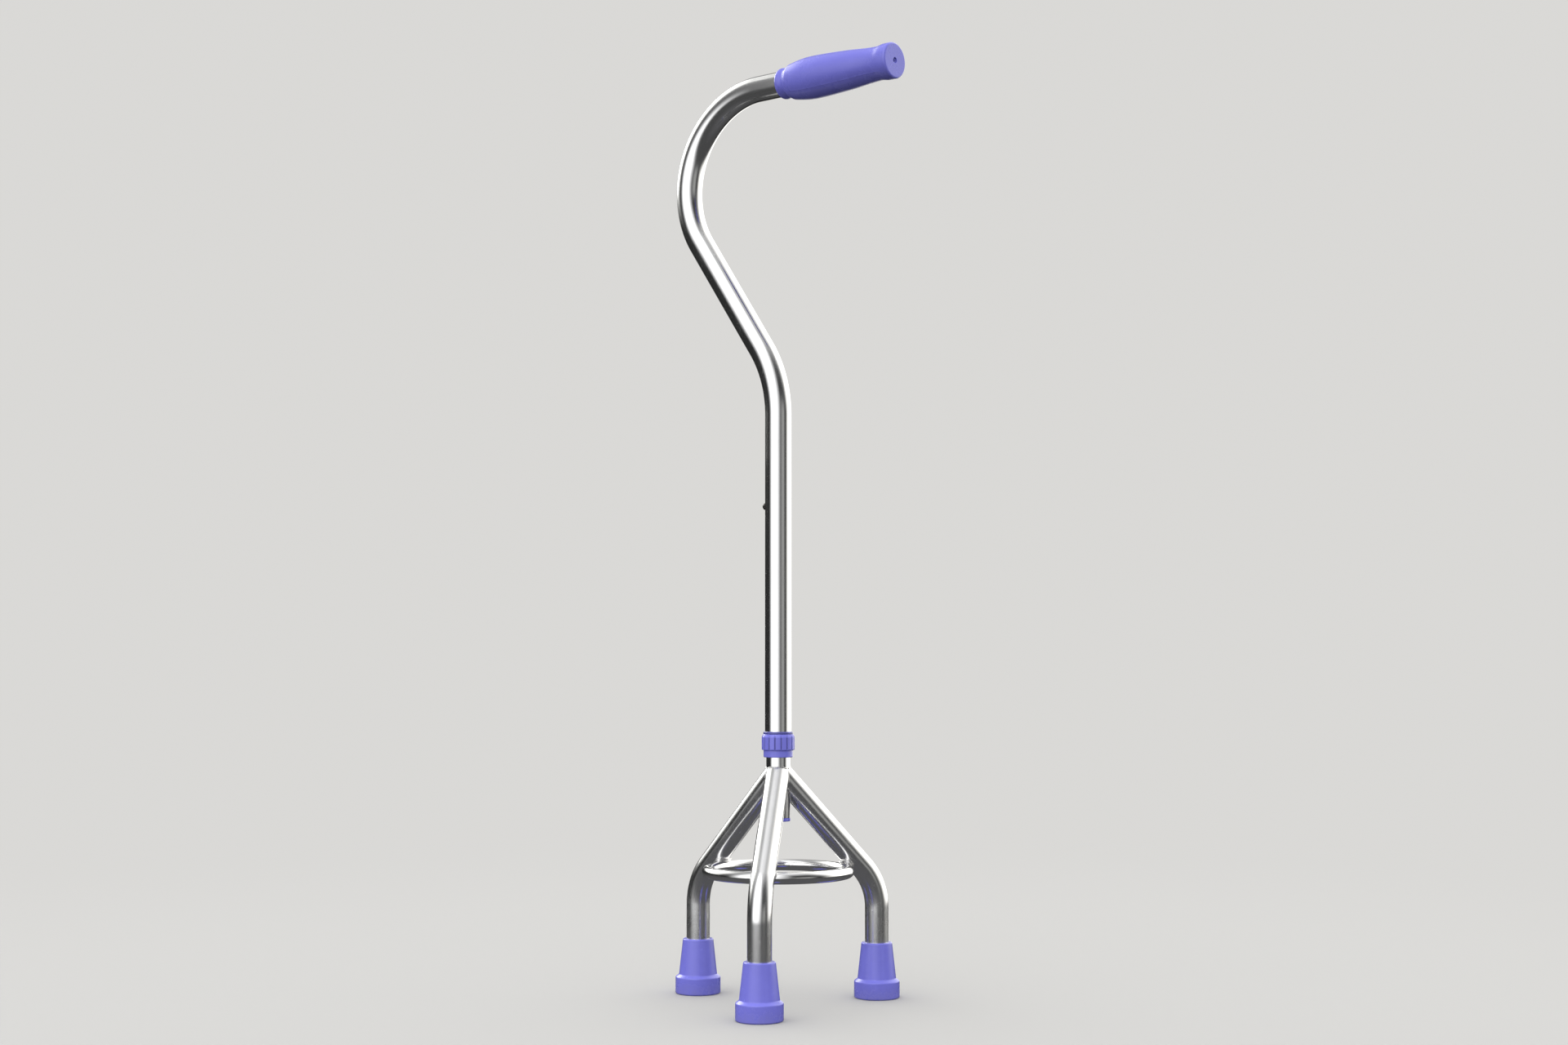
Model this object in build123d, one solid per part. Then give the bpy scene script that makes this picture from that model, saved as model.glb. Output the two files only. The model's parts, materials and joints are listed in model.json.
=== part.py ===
from build123d import *

import os
from math import cos, hypot, radians, sin, tan

# Walking cane with a swan-neck handle and a three-footed base, as separate pieces, in millimetres.
# +Z is up and the floor is z = 0. +X points along the grip to its free end, and the lone front leg is on
# the -X side, under the neck's bow. The pieces are made about the post's axis and moved by SHAFT_X when
# they are written, so that the origin is the middle of the whole cane's footprint.

# Telescoping tubes
TUBE_OD = 22.2
TUBE_WALL = 1.0
TUBE_BOTTOM_Z = 210.8
POST_OD = 20.0
POST_WALL = 1.0
POST_BOTTOM_Z = 153.7
POST_TOP_Z = 441.6

# Plugs in the post's two ends
PLUG_WALL = 1.4
PLUG_EDGE = 0.8
END_PLUG_RIM = 2.8
END_PLUG_DEPTH = 12.0
TOP_CAP_RIM = 2.0
TOP_CAP_DEPTH = 10.0

# Swan neck: up, lean away from the grip, round the bow, level through the grip
LOWER_BEND_Z = 492.4
LOWER_BEND_R = 102.4
NECK_LEAN = 35.0
LEAN_LENGTH = 119.1
BOW_R = 81.1
HANDLE_TUBE_END_X = 116.0

# Hand grip, a body of revolution about the level tube, from a bead at its mouth to a flange at its free end
GRIP_START_X = 4.6
GRIP_END_X = 124.0
GRIP_MOUTH = 0.4
GRIP_BEAD_AT, GRIP_BEAD_R = 3.0, 13.25
GRIP_GROOVE_AT, GRIP_GROOVE_R = 7.8, 12.6
GRIP_SHOULDER_AT, GRIP_SHOULDER_R = 13.4, 15.3
GRIP_SWELL_AT, GRIP_SWELL_R = 35.4, 17.8
GRIP_TAPER_AT, GRIP_TAPER_R = 70.4, 16.4
GRIP_WAIST_AT, GRIP_WAIST_R = 104.0, 14.0
GRIP_FLANGE_R = 15.0
GRIP_FLANGE = 8.0
GRIP_EDGE = 1.8
GRIP_VENT_D = 2.5

# Height lock
HOLE_COUNT = 7
HOLE_PITCH = 25.4
HOLE_D = 6.8
BUTTON_Z = 415.6
BUTTON_D = 6.4
BUTTON_PROUD = 5.2
BUTTON_SHOULDER_D = 8.6
BUTTON_SHOULDER = 1.0
POST_HOLE_D = 6.52
SPRING_THICKNESS = 0.6
SPRING_WIDTH = 6.0
SPRING_FOLD_Z = 372.6
SPRING_FOLD_HALF_WIDTH = 3.0
SPRING_FOLD_HEIGHT = 6.0
SPRING_BEND_R = 2.8
SPRING_PAD = 7.0

# Clamping collar at the outer tube's lower end
SLEEVE_R = 12.0
SLEEVE_TOP_Z = 225.7
SLEEVE_FLANGE_R = 12.5
SLEEVE_FLANGE = 2.0
SLEEVE_EDGE = 0.9
COLLAR_BOTTOM_Z = 204.2
COLLAR_STEP_Z = 210.3
COLLAR_TOP_Z = 223.5
COLLAR_NOSE_R = 12.3
COLLAR_R = 13.85
COLLAR_CHAMFER = 1.1
COLLAR_CHAMFER_HEIGHT = 2.4
COLLAR_EDGE = 0.7
COLLAR_LIP = 0.9
RIB_COUNT = 16
RIB_GROOVE_D = 1.7
RIB_GROOVE_OUT = 0.2
RIB_PHASE = 5.6
CLAMP_RING_WALL = 0.9
CLAMP_RING_GAP = 0.2
CLAMP_RING_SLIT = 1.5

# Base: legs, brace ring let into the legs, welds
LEG_OD = 20.0
LEG_WALL = 1.2
LEG_SPREAD_R = 89.3
LEG_SLANT = 42.7
LEG_BEND_R = 50.0
HUB_Z = 192.7
RING_ROD_D = 10.0
RING_Z = 109.2
RING_BITE = 1.5
HUB_WELD = 0.9
RING_WELD = 2.0
LEG_AZIMUTHS = {"front": 180.0, "rear_left": -60.0, "rear_right": 60.0}

# Rubber feet
FOOT_HEIGHT = 46.6
FOOT_BASE_R = 19.3
FOOT_BASE_HEIGHT = 14.2
FOOT_CONE_BOTTOM_R = 16.35
FOOT_CONE_TOP_R = 13.0
FOOT_SHOULDER = 2.2
FOOT_EDGE = 1.4
FOOT_FLOOR = 8.0
SOLE_LAND_R = 11.0
SOLE_GROOVE = 1.2
WASHER = 1.2

# Clearances, all radial or along the axis, and how far a cutting shape passes the face that it cuts
RUNNING = 0.05
SLIDING = 0.1
FREE = 0.3
OVERCUT = 1.0

# Worked out from the sizes above
LEAN = radians(NECK_LEAN)
BOW_START_X = -LOWER_BEND_R * (1 - cos(LEAN)) - LEAN_LENGTH * sin(LEAN)
BOW_START_Z = LOWER_BEND_Z + LOWER_BEND_R * sin(LEAN) + LEAN_LENGTH * cos(LEAN)
BOW_X = BOW_START_X + BOW_R * cos(LEAN)
BOW_Z = BOW_START_Z + BOW_R * sin(LEAN)
HANDLE_Z = BOW_Z + BOW_R
SHAFT_X = -(GRIP_END_X + BOW_X - BOW_R - TUBE_OD / 2) / 2
TUBE_R = TUBE_OD / 2
TUBE_BORE_R = TUBE_R - TUBE_WALL
POST_R = POST_OD / 2
POST_BORE_R = POST_R - POST_WALL
CLAMP_RING_BORE_R = POST_R + SLIDING
BUTTON_SHOULDER_X = (POST_BORE_R**2 - (BUTTON_SHOULDER_D / 2) ** 2) ** 0.5 - SLIDING
LEG_R = LEG_OD / 2
RING_ROD_R = RING_ROD_D / 2
LEG_BOTTOM_Z = FOOT_FLOOR + WASHER + RUNNING


def rod(radius, x, z, lean, moves):
    """Round rod in the XZ plane from (x, z), leaning from +Z towards +X by lean degrees.

    Each move is (length, 0) for a straight run, or (bend radius, turn) with the turn in degrees towards +X.
    """
    pieces = []
    for size, turn in moves:
        along = (sin(radians(lean)), cos(radians(lean)))
        section = Plane((x, 0, z), x_dir=(0, 1, 0), z_dir=(along[0], 0, along[1])) * Circle(radius)
        if turn == 0:
            pieces.append(extrude(section, size))
            x += size * along[0]
            z += size * along[1]
            continue
        side = 1 if turn > 0 else -1
        centre = (x + side * size * along[1], z - side * size * along[0])
        pieces.append(revolve(section, Axis((centre[0], 0, centre[1]), (0, side, 0)), abs(turn)))
        lean += turn
        x = centre[0] - side * size * cos(radians(lean))
        z = centre[1] + side * size * sin(radians(lean))
    return Part() + pieces


def cylinder(radius, bottom, top):
    return Pos(0, 0, bottom) * extrude(Circle(radius), top - bottom)


def ring(outer, inner, bottom, top):
    return cylinder(outer, bottom, top) - cylinder(inner, bottom - OVERCUT, top + OVERCUT)


def turned(points, edge_radius=0, edges=()):
    """Solid turned about +Z from (radius, height) points, with the numbered corners rounded."""
    outline = Plane.XZ * make_face(Polyline(*points, close=True))
    corners = []
    for r, z in (points[i] for i in edges):
        corners.append(min(outline.vertices(), key=lambda v: hypot(v.X - r, v.Z - z)))
    if corners:
        outline = fillet(corners, edge_radius)
    return revolve(outline, Axis.Z)


def neck_rod(radius):
    moves = [
        (LOWER_BEND_Z - TUBE_BOTTOM_Z, 0),
        (LOWER_BEND_R, -NECK_LEAN),
        (LEAN_LENGTH, 0),
        (BOW_R, NECK_LEAN + 90),
        (HANDLE_TUBE_END_X - BOW_X, 0),
    ]
    return rod(radius, 0, TUBE_BOTTOM_Z, 0, moves)


def swan_neck_tube():
    tube = neck_rod(TUBE_R) - neck_rod(TUBE_BORE_R)
    for i in range(HOLE_COUNT):
        centre = Plane((0, 0, BUTTON_Z - i * HOLE_PITCH), z_dir=(-1, 0, 0))
        tube -= extrude(centre * Circle(HOLE_D / 2), TUBE_OD)
    return tube


def hand_grip():
    """Moulded sleeve, closed at its free end but for a small vent hole."""
    length = GRIP_END_X - GRIP_START_X
    bore = TUBE_R + RUNNING
    vent = GRIP_VENT_D / 2
    socket = HANDLE_TUBE_END_X - GRIP_START_X + FREE
    flange_start = length - GRIP_FLANGE
    face_r = GRIP_FLANGE_R - GRIP_EDGE
    bead, groove = (GRIP_BEAD_R, GRIP_BEAD_AT), (GRIP_GROOVE_R, GRIP_GROOVE_AT)
    shoulder, swell = (GRIP_SHOULDER_R, GRIP_SHOULDER_AT), (GRIP_SWELL_R, GRIP_SWELL_AT)
    taper, waist = (GRIP_TAPER_R, GRIP_TAPER_AT), (GRIP_WAIST_R, GRIP_WAIST_AT)
    outline = [
        Spline((bore, GRIP_MOUTH), bead, groove, tangents=((1, 0), (0, 1))),
        Spline(groove, shoulder, swell, tangents=((0, 1), (0, 1))),
        Spline(swell, taper, waist, (GRIP_FLANGE_R, flange_start), tangents=((0, 1), (0, 1))),
        Line((GRIP_FLANGE_R, flange_start), (GRIP_FLANGE_R, length - GRIP_EDGE)),
        RadiusArc((GRIP_FLANGE_R, length - GRIP_EDGE), (face_r, length), -GRIP_EDGE),
        Polyline((face_r, length), (vent, length), (vent, socket), (bore, socket), (bore, GRIP_MOUTH)),
    ]
    grip = revolve(Plane.XZ * make_face(Curve() + outline), Axis.Z)
    return Plane((GRIP_START_X, 0, HANDLE_Z), x_dir=(0, 1, 0), z_dir=(1, 0, 0)) * grip


def collet_sleeve():
    """Threaded sleeve fixed round the outer tube's end, with the flange that the collar stops against."""
    under_flange = SLEEVE_TOP_Z - SLEEVE_FLANGE
    bore = TUBE_R + RUNNING
    points = [
        (bore, TUBE_BOTTOM_Z), (SLEEVE_R, TUBE_BOTTOM_Z), (SLEEVE_R, under_flange),
        (SLEEVE_FLANGE_R, under_flange), (SLEEVE_FLANGE_R, SLEEVE_TOP_Z), (bore, SLEEVE_TOP_Z),
    ]
    return turned(points, SLEEVE_EDGE, edges=[4])


def clamp_ring():
    """Slit, tapered ring between the tube's end and the collar's nose."""
    bottom = COLLAR_BOTTOM_Z + COLLAR_LIP + CLAMP_RING_GAP
    top = TUBE_BOTTOM_Z - RUNNING
    bore = CLAMP_RING_BORE_R
    body = turned([(bore, bottom), (bore + CLAMP_RING_WALL, bottom), (SLEEVE_R - SLIDING, top), (bore, top)])
    slit = Pos(0, SLEEVE_R, (bottom + top) / 2) * Box(CLAMP_RING_SLIT, SLEEVE_R, 2 * (top - bottom))
    return body - slit


def locking_collar():
    """Nut with a plain nose and a ribbed skirt, hollow to take the sleeve and the clamp ring."""
    seat_z = COLLAR_BOTTOM_Z + COLLAR_LIP
    seat_r = CLAMP_RING_BORE_R + CLAMP_RING_WALL + FREE
    bore = SLEEVE_R + SLIDING
    nose_bore = POST_R + FREE
    outline = [
        (nose_bore, COLLAR_BOTTOM_Z), (COLLAR_NOSE_R, COLLAR_BOTTOM_Z), (COLLAR_NOSE_R, COLLAR_STEP_Z),
        (COLLAR_R, COLLAR_STEP_Z), (COLLAR_R, COLLAR_TOP_Z - COLLAR_CHAMFER_HEIGHT),
        (COLLAR_R - COLLAR_CHAMFER, COLLAR_TOP_Z), (bore, COLLAR_TOP_Z), (bore, TUBE_BOTTOM_Z),
        (seat_r, seat_z), (nose_bore, seat_z),
    ]
    collar = turned(outline, COLLAR_EDGE, edges=[1, 3])
    groove_r = RIB_GROOVE_D / 2
    groove = cylinder(groove_r, COLLAR_STEP_Z - OVERCUT, COLLAR_TOP_Z + OVERCUT)
    for i in range(RIB_COUNT):
        turn = Rot(0, 0, RIB_PHASE + i * 360 / RIB_COUNT)
        collar -= turn * Pos(COLLAR_R + RIB_GROOVE_OUT, 0, 0) * groove
    return collar


def post_tube():
    post = ring(POST_R, POST_BORE_R, POST_BOTTOM_Z, POST_TOP_Z)
    return post - extrude(Plane((0, 0, BUTTON_Z), z_dir=(-1, 0, 0)) * Circle(POST_HOLE_D / 2), POST_OD)


def tube_plug(rim_radius, rim_height, depth):
    """Hollow plug for the post's bore, its rim below z = 0 and its skirt above."""
    skirt = POST_BORE_R - RUNNING
    points = [
        (0, -rim_height), (rim_radius, -rim_height), (rim_radius, 0), (skirt, 0), (skirt, depth),
        (skirt - PLUG_WALL, depth), (skirt - PLUG_WALL, 0), (0, 0),
    ]
    return turned(points, PLUG_EDGE, edges=[1])


def post_end_plug():
    return Pos(0, 0, POST_BOTTOM_Z) * tube_plug(POST_R + FREE, END_PLUG_RIM, END_PLUG_DEPTH)


def post_top_cap():
    return Pos(0, 0, POST_TOP_Z) * Rot(180, 0, 0) * tube_plug(POST_R, TOP_CAP_RIM, TOP_CAP_DEPTH)


def snap_button():
    """Round-headed pin with a shoulder that stays inside the post."""
    radius = BUTTON_D / 2
    stem = TUBE_R + BUTTON_PROUD - radius - BUTTON_SHOULDER_X
    pin = extrude(Circle(radius), stem)
    head = Pos(0, 0, stem) * Sphere(radius)
    foot = Pos(0, 0, -BUTTON_SHOULDER) * extrude(Circle(BUTTON_SHOULDER_D / 2), BUTTON_SHOULDER)
    return Plane((-BUTTON_SHOULDER_X, 0, BUTTON_Z), z_dir=(-1, 0, 0)) * (pin + head + foot)


def button_spring():
    """V of spring strip: one leg backs the button, the other bears on the far wall."""
    pad_x = -(BUTTON_SHOULDER_X - BUTTON_SHOULDER - RUNNING - SPRING_THICKNESS / 2)
    wall_x = (POST_BORE_R**2 - (SPRING_WIDTH / 2) ** 2) ** 0.5 - SLIDING - SPRING_THICKNESS / 2
    pad_bottom, pad_top = BUTTON_Z - SPRING_PAD, BUTTON_Z + SPRING_PAD
    fold_x = SPRING_FOLD_HALF_WIDTH
    fold_bottom = SPRING_FOLD_Z - SPRING_FOLD_HALF_WIDTH
    fold_top = SPRING_FOLD_Z + SPRING_FOLD_HEIGHT
    route = FilletPolyline(
        (pad_x, pad_top), (pad_x, pad_bottom), (-fold_x, fold_top), (-fold_x, fold_bottom),
        (fold_x, fold_bottom), (fold_x, fold_top), (wall_x, pad_bottom), (wall_x, pad_top),
        radius=SPRING_BEND_R,
    )
    strip = trace(route, SPRING_THICKNESS)
    return extrude(Plane.XZ * strip, SPRING_WIDTH / 2, both=True)


def leg_moves():
    """Down the slant, round the bend to vertical, and down to the foot's washer."""
    slant = radians(LEG_SLANT)
    tangent = LEG_BEND_R * tan(slant / 2)
    corner_z = HUB_Z - LEG_SPREAD_R / tan(slant)
    return [
        (LEG_SPREAD_R / sin(slant) - tangent, 0),
        (LEG_BEND_R, LEG_SLANT),
        (corner_z - tangent - LEG_BOTTOM_Z, 0),
    ]


def leg_rod(radius):
    """Solid rod along a leg's centreline, from the post's axis towards +X."""
    return rod(radius, 0, HUB_Z, 180 - LEG_SLANT, leg_moves())


def hub_sector():
    """The third of the space round the post that belongs to the leg towards +X."""
    reach = LEG_SPREAD_R + LEG_OD
    aside = reach * tan(radians(60))
    outline = Polyline((0, 0), (reach, -aside), (reach, aside), close=True)
    return extrude(make_face(outline), HUB_Z + LEG_OD)


def leg():
    tube = leg_rod(LEG_R) - leg_rod(LEG_R - LEG_WALL)
    return (tube - cylinder(POST_R, 0, POST_TOP_Z)) & hub_sector()


def ring_radius():
    """Centreline radius at which the brace ring enters the legs' inner sides by RING_BITE."""
    slant = radians(LEG_SLANT)
    return (HUB_Z - RING_Z) * tan(slant) - (LEG_R + RING_ROD_R - RING_BITE) / cos(slant)


def brace_ring():
    """Ring of round rod, notched on its outer side to bed against each leg."""
    rod_ring = Pos(0, 0, RING_Z) * Torus(ring_radius(), RING_ROD_R)
    for side in LEG_AZIMUTHS:
        rod_ring -= around(leg_rod(LEG_R + RUNNING), side)
    return rod_ring


def hub_weld():
    """Fillet bead where a leg meets the post."""
    round_post = ring(POST_R + HUB_WELD, POST_R, POST_BOTTOM_Z, HUB_Z + LEG_OD)
    round_leg = leg_rod(LEG_R + HUB_WELD) - leg_rod(LEG_R)
    return round_post & round_leg & hub_sector()


def ring_weld():
    """Bead round the place where the brace ring beds against a leg."""
    bead_ring = Torus(ring_radius(), RING_ROD_R + RING_WELD) - Torus(ring_radius(), RING_ROD_R)
    round_leg = leg_rod(LEG_R + RING_WELD) - leg_rod(LEG_R)
    return Pos(0, 0, RING_Z) * bead_ring & round_leg & hub_sector()


def foot():
    """Rubber tip: broad base, cone, socket for the leg, grooved sole."""
    bore = LEG_R + RUNNING
    shoulder_z = FOOT_BASE_HEIGHT + FOOT_SHOULDER
    points = [
        (0, SOLE_GROOVE), (SOLE_LAND_R, SOLE_GROOVE), (SOLE_LAND_R, 0), (FOOT_BASE_R, 0),
        (FOOT_BASE_R, FOOT_BASE_HEIGHT), (FOOT_CONE_BOTTOM_R, shoulder_z), (FOOT_CONE_TOP_R, FOOT_HEIGHT),
        (bore, FOOT_HEIGHT), (bore, FOOT_FLOOR), (0, FOOT_FLOOR),
    ]
    body = turned(points, FOOT_EDGE, edges=[3, 4, 6])
    groove_r = (SOLE_LAND_R + FOOT_BASE_R) / 2
    return body - ring(groove_r + SOLE_GROOVE / 2, groove_r - SOLE_GROOVE / 2, -SOLE_GROOVE, SOLE_GROOVE)


def foot_washer():
    return cylinder(LEG_R - RUNNING, FOOT_FLOOR, FOOT_FLOOR + WASHER)


def around(shape, side):
    """Turn a piece made for the leg towards +X round the post to a named side."""
    return Rot(0, 0, LEG_AZIMUTHS[side]) * shape


def pieces():
    made = {
        "swan_neck_tube": swan_neck_tube(),
        "hand_grip": hand_grip(),
        "collet_sleeve": collet_sleeve(),
        "clamp_ring": clamp_ring(),
        "locking_collar": locking_collar(),
        "post_tube": post_tube(),
        "post_top_cap": post_top_cap(),
        "post_end_plug": post_end_plug(),
        "snap_button": snap_button(),
        "button_spring": button_spring(),
        "brace_ring": brace_ring(),
    }
    per_leg = {
        "leg": leg(),
        "hub_weld": hub_weld(),
        "ring_weld": ring_weld(),
        "foot": Pos(LEG_SPREAD_R, 0, 0) * foot(),
        "foot_washer": Pos(LEG_SPREAD_R, 0, 0) * foot_washer(),
    }
    for side in LEG_AZIMUTHS:
        for name, shape in per_leg.items():
            made[f"{name}_{side}"] = around(shape, side)
    return made


def main():
    os.makedirs("parts", exist_ok=True)
    for name, shape in pieces().items():
        export_step(Pos(SHAFT_X, 0, 0) * shape, f"parts/{name}.step")


if __name__ == "__main__":
    main()
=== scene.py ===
import json
from math import atan2, cos, pi, radians, sin, sqrt, tan

import bmesh
import bpy
import numpy as np
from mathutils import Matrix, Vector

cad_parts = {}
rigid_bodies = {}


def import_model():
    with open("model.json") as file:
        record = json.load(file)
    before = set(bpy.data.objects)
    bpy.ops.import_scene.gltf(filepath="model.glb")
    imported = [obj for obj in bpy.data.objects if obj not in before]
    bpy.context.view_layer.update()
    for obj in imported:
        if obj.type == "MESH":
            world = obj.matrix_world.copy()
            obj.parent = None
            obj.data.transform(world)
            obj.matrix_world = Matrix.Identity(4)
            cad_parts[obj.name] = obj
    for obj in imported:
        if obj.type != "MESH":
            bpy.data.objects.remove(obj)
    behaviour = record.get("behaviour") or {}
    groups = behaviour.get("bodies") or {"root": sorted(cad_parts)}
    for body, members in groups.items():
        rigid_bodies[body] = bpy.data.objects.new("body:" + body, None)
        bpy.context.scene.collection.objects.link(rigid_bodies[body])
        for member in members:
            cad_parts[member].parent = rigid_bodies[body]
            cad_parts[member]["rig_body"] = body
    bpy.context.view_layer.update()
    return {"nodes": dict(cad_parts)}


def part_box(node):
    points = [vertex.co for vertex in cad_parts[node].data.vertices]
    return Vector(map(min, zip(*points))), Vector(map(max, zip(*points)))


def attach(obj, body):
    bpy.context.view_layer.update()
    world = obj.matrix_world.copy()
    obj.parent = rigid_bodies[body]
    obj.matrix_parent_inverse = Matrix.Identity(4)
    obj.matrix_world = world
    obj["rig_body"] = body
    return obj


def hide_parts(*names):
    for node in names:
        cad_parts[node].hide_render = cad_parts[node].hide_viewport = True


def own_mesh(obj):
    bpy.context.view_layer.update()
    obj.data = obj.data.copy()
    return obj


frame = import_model()

# Three-footed walking cane, in metres. The pieces are built here in the place of CAD nodes, and take their
# positions from the nodes' boxes. What a box can't give is restated below from the CAD source. A few inner
# pieces keep their CAD mesh.
MM = 0.001
TURN = 2 * pi

# Swan neck
TUBE_WALL = 1.0 * MM
LOWER_BEND_Z = 492.4 * MM
LOWER_BEND_R = 102.4 * MM
NECK_LEAN = 35.0
LEAN_LENGTH = 119.1 * MM
BOW_R = 81.1 * MM

# Hand grip, as distances from its mouth and radii
GRIP_BEAD_AT, GRIP_BEAD_R = 3.0 * MM, 13.25 * MM
GRIP_GROOVE_AT, GRIP_GROOVE_R = 7.8 * MM, 12.6 * MM
GRIP_SHOULDER_AT, GRIP_SHOULDER_R = 13.4 * MM, 15.3 * MM
GRIP_SWELL_AT, GRIP_SWELL_R = 35.4 * MM, 17.8 * MM
GRIP_TAPER_AT, GRIP_TAPER_R = 70.4 * MM, 16.4 * MM
GRIP_WAIST_AT, GRIP_WAIST_R = 104.0 * MM, 14.0 * MM
GRIP_FLANGE = 8.0 * MM
GRIP_FLANGE_R = 15.0 * MM
GRIP_EDGE = 1.8 * MM
GRIP_VENT_R = 1.25 * MM
GRIP_SEAMS = (radians(223), radians(43))
GRIP_SEAM_HEIGHT = 0.16 * MM

# Height lock
HOLE_COUNT = 7
HOLE_PITCH = 25.4 * MM
HOLE_R = 3.4 * MM
POST_HOLE_R = 3.26 * MM
POST_WALL = 1.0 * MM
PLUG_WALL = 1.4 * MM
BUTTON_R = 3.2 * MM
BUTTON_SHOULDER = 1.0 * MM

# Collar, and the sleeve that it turns on
SLEEVE_R = 12.0 * MM
SLEEVE_FLANGE = 2.0 * MM
SLEEVE_EDGE = 0.9 * MM
THREAD_DEPTH = 0.35 * MM
THREAD_HALF_PITCH = 0.7 * MM
THREAD_ROWS = 16
COLLAR_STEP = 6.1 * MM
COLLAR_NOSE_R = 12.3 * MM
COLLAR_CHAMFER = 1.1 * MM
COLLAR_CHAMFER_HEIGHT = 2.4 * MM
COLLAR_EDGE = 0.7 * MM
COLLAR_LIP = 0.9 * MM
RIB_COUNT = 16
RIB_GROOVE_R = 0.85 * MM
RIB_GROOVE_OUT = 0.2 * MM
RIB_SOFTNESS = 0.05 * MM
RIB_PHASE = radians(5.6)

# Legs and brace ring
LEG_WALL = 1.2 * MM
LEG_SLANT = 42.7
LEG_BEND_R = 50.0 * MM
LEG_SPREAD_R = 89.3 * MM
HUB_Z = 192.7 * MM
LEG_AZIMUTHS = {"front": 180.0, "rear_left": -60.0, "rear_right": 60.0}
LEG_COPE = 30.0 * MM
WELD_PITCH = 1.5 * MM
WELD_RIPPLE = 0.10 * MM

# Rubber feet
FOOT_BASE_HEIGHT = 14.2 * MM
FOOT_SHOULDER = 2.2 * MM
FOOT_CONE_BOTTOM_R = 16.35 * MM
FOOT_CONE_TOP_R = 13.0 * MM
FOOT_FLOOR = 8.0 * MM
FOOT_EDGE = 1.4 * MM
FOOT_SEAM_HEIGHT = 0.10 * MM
SOLE_LAND_R = 11.0 * MM
SOLE_RECESS = 1.2 * MM

# Clearances of the CAD, radial or along the axis
RUNNING = 0.05 * MM
SLIDING = 0.1 * MM
FREE = 0.3 * MM

# Camera, from the post's axis at floor level
CAMERA_PLACE = (1.1691, -1.4156, 0.2886)
CAMERA_AZIMUTH = 39.4
CAMERA_TILT = 3.52

# Worked out from the frame and the sizes above
post_lo, post_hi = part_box("post_tube")
tube_lo, tube_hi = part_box("swan_neck_tube")
button_lo, button_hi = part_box("snap_button")
POST_X = (post_lo.x + post_hi.x) / 2
POST_R = (post_hi.y - post_lo.y) / 2
TUBE_R = (tube_hi.y - tube_lo.y) / 2
HANDLE_Z = tube_hi.z - TUBE_R
BUTTON_Z = (button_lo.z + button_hi.z) / 2
LEG_TANGENT = LEG_BEND_R * tan(radians(LEG_SLANT) / 2)
LEG_BEND_START = LEG_SPREAD_R / sin(radians(LEG_SLANT)) - LEG_TANGENT

# Points of a piece that are closer than this become one
MERGE_DISTANCE = 0.0005 * MM


# ---------------------------------------------------------------- shapes

def bent_path(x, z, lean, moves):
    """Centreline in the XZ plane. Each move is (length, 0) or (bend radius, turn in degrees towards +X).

    Returns the path, a function from distances to (points, across, side), and its whole length.
    """
    runs = []
    travelled = 0.0
    for size, turn in moves:
        runs.append((travelled, x, z, lean, size, turn))
        if turn == 0:
            x += size * sin(radians(lean))
            z += size * cos(radians(lean))
            travelled += size
            continue
        hand = 1 if turn > 0 else -1
        centre_x = x + hand * size * cos(radians(lean))
        centre_z = z - hand * size * sin(radians(lean))
        lean += turn
        x = centre_x - hand * size * cos(radians(lean))
        z = centre_z + hand * size * sin(radians(lean))
        travelled += size * abs(radians(turn))

    def path(distance):
        distance = np.atleast_1d(np.asarray(distance, float))
        here = np.zeros((len(distance), 3))
        leans = np.zeros(len(distance))
        for start, x0, z0, lean0, size, turn in runs:
            on = distance >= start if start > 0 else np.ones(len(distance), bool)
            gone = distance[on] - start
            first = radians(lean0)
            if turn == 0:
                here[on, 0] = x0 + gone * sin(first)
                here[on, 2] = z0 + gone * cos(first)
                leans[on] = first
                continue
            hand = 1 if turn > 0 else -1
            now = first + hand * gone / size
            here[on, 0] = x0 + hand * size * (cos(first) - np.cos(now))
            here[on, 2] = z0 - hand * size * (sin(first) - np.sin(now))
            leans[on] = now
        across = np.stack([np.cos(leans), np.zeros_like(leans), -np.sin(leans)], 1)
        side = np.zeros_like(across)
        side[:, 1] = 1
        return here, across, side

    return path, travelled


def straight_path(start, across, side):
    """Centreline from start along across x side."""
    start, across, side = (np.array(v, float) for v in (start, across, side))
    along = np.cross(across, side)

    def path(distance):
        distance = np.atleast_1d(np.asarray(distance, float))
        ones = np.ones((len(distance), 1))
        return start + distance[:, None] * along, ones * across, ones * side

    return path


def ring_path(radius, z):
    """Level circle about the Z axis, starting on the -X side."""

    def path(distance):
        angle = pi + np.atleast_1d(np.asarray(distance, float)) / radius
        outwards = np.stack([np.cos(angle), np.sin(angle), np.zeros_like(angle)], 1)
        down = np.zeros_like(outwards)
        down[:, 2] = -1
        return radius * outwards + np.array([0, 0, z]), outwards, down

    return path


def columns(count, fine_at=(), fine_width=0.0):
    """Evenly spaced angles, with nine close ones in their place at each angle of fine_at."""
    even = [TURN * i / count for i in range(count)]
    group = [fine_width * k / 4 for k in range(-4, 5)]
    keep = [a for a in even if all(abs((a - f + pi) % TURN - pi) > fine_width * 1.3 for f in fine_at)]
    return np.array(sorted(keep + [(f + g) % TURN for f in fine_at for g in group]))


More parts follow.
